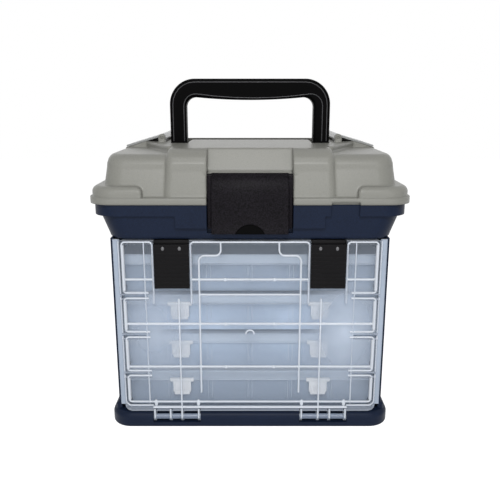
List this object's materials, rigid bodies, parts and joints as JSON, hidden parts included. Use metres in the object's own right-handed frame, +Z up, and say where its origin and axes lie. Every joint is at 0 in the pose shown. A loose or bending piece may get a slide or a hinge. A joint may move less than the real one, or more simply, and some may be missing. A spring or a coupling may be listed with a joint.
{
  "type": "fishing tackle cabinet",
  "caption": "Carry cabinet for fishing tackle: lidded bulk tray with folding handle over a rack of slide-out divided boxes behind a clear drop-down door.",
  "frame": {"origin": "middle of the resting face, under the centre of the raised middle of the lid", "axes": "+X to the right, +Y to the back, +Z up; the clear door faces -Y"},
  "size_m": [0.335, 0.2527, 0.3782],
  "materials": {
    "navy_body": "satin moulded dark blue",
    "grey_lid": "fine textured warm grey",
    "black_handle": "satin black",
    "black_latch": "grained black",
    "clear_cover": "clear polished",
    "clear_door": "clear with a bluish haze",
    "clear_box": "translucent natural",
    "grey_pin": "grey nylon",
    "steel_pin": "drawn wire"
  },
  "bodies": {
    "cabinet": {"base": "navy_body", "rack": "navy_body", "upper_tray": "navy_body", "lid_hinge_rod": "steel_pin", "door_hinge_pins": "grey_pin"},
    "lid": {"lid": "grey_lid", "handle_pins": "steel_pin", "main_latch_pin": "steel_pin", "cover_pin_left": "steel_pin", "cover_pin_right": "steel_pin"},
    "handle": {"handle": "black_handle"},
    "main_latch": {"main_latch": "black_latch"},
    "cover_left": {"cover_left": "clear_cover"},
    "cover_right": {"cover_right": "clear_cover"},
    "door": {"door": "clear_door"},
    "door_latch_left": {"door_latch_left": "black_latch"},
    "door_latch_right": {"door_latch_right": "black_latch"},
    "box_1": {"box_1_tray": "clear_box", "box_1_dividers": "clear_box", "box_1_lid": "clear_box", "box_1_latches": "clear_box"},
    "box_2": {"box_2_tray": "clear_box", "box_2_dividers": "clear_box", "box_2_lid": "clear_box", "box_2_latches": "clear_box"},
    "box_3": {"box_3_tray": "clear_box", "box_3_dividers": "clear_box", "box_3_lid": "clear_box", "box_3_latches": "clear_box"},
    "box_4": {"box_4_tray": "clear_box", "box_4_dividers": "clear_box", "box_4_lid": "clear_box", "box_4_latches": "clear_box"}
  },
  "joints": [
    {"name": "lid_hinge", "type": "hinge", "parent": "cabinet", "child": "lid", "pos_m": [0, 0.124, 0.251], "axis": [-1, 0, 0], "range_deg": [0, 100]},
    {"name": "main_latch_hinge", "type": "hinge", "parent": "lid", "child": "main_latch", "pos_m": [0, -0.1055, 0.2795], "axis": [-1, 0, 0], "range_deg": [0, 95]},
    {"name": "handle_hinge", "type": "hinge", "parent": "lid", "child": "handle", "pos_m": [0, 0, 0.296], "axis": [-1, 0, 0], "range_deg": [0, 90]},
    {"name": "cover_left_hinge", "type": "hinge", "parent": "lid", "child": "cover_left", "pos_m": [-0.104, 0, 0.3115], "axis": [0, 1, 0], "range_deg": [0, 90]},
    {"name": "cover_right_hinge", "type": "hinge", "parent": "lid", "child": "cover_right", "pos_m": [0.104, 0, 0.3115], "axis": [0, -1, 0], "range_deg": [0, 90]},
    {"name": "door_hinge", "type": "hinge", "parent": "cabinet", "child": "door", "pos_m": [0, -0.112, 0.011], "axis": [1, 0, 0], "range_deg": [0, 90]},
    {"name": "door_latch_left_slide", "type": "slide", "parent": "door", "child": "door_latch_left", "axis": [0, 0, -1], "range_m": [0, 0.012]},
    {"name": "door_latch_right_slide", "type": "slide", "parent": "door", "child": "door_latch_right", "axis": [0, 0, -1], "range_m": [0, 0.012]},
    {"name": "box_1_slide", "type": "slide", "parent": "cabinet", "child": "box_1", "axis": [0, -1, 0], "range_m": [0, 0.0155]},
    {"name": "box_2_slide", "type": "slide", "parent": "cabinet", "child": "box_2", "axis": [0, -1, 0], "range_m": [0, 0.104]},
    {"name": "box_3_slide", "type": "slide", "parent": "cabinet", "child": "box_3", "axis": [0, -1, 0], "range_m": [0, 0.1575]},
    {"name": "box_4_slide", "type": "slide", "parent": "cabinet", "child": "box_4", "axis": [0, -1, 0], "range_m": [0, 0.1575]}
  ],
  "couplings": [
    {"joint": "box_1_slide", "follows": "door_hinge", "m_per_rad": 0.0098},
    {"joint": "box_2_slide", "follows": "door_hinge", "m_per_rad": 0.066},
    {"joint": "box_3_slide", "follows": "door_hinge", "m_per_rad": 0.1},
    {"joint": "box_4_slide", "follows": "door_hinge", "m_per_rad": 0.1}
  ]
}
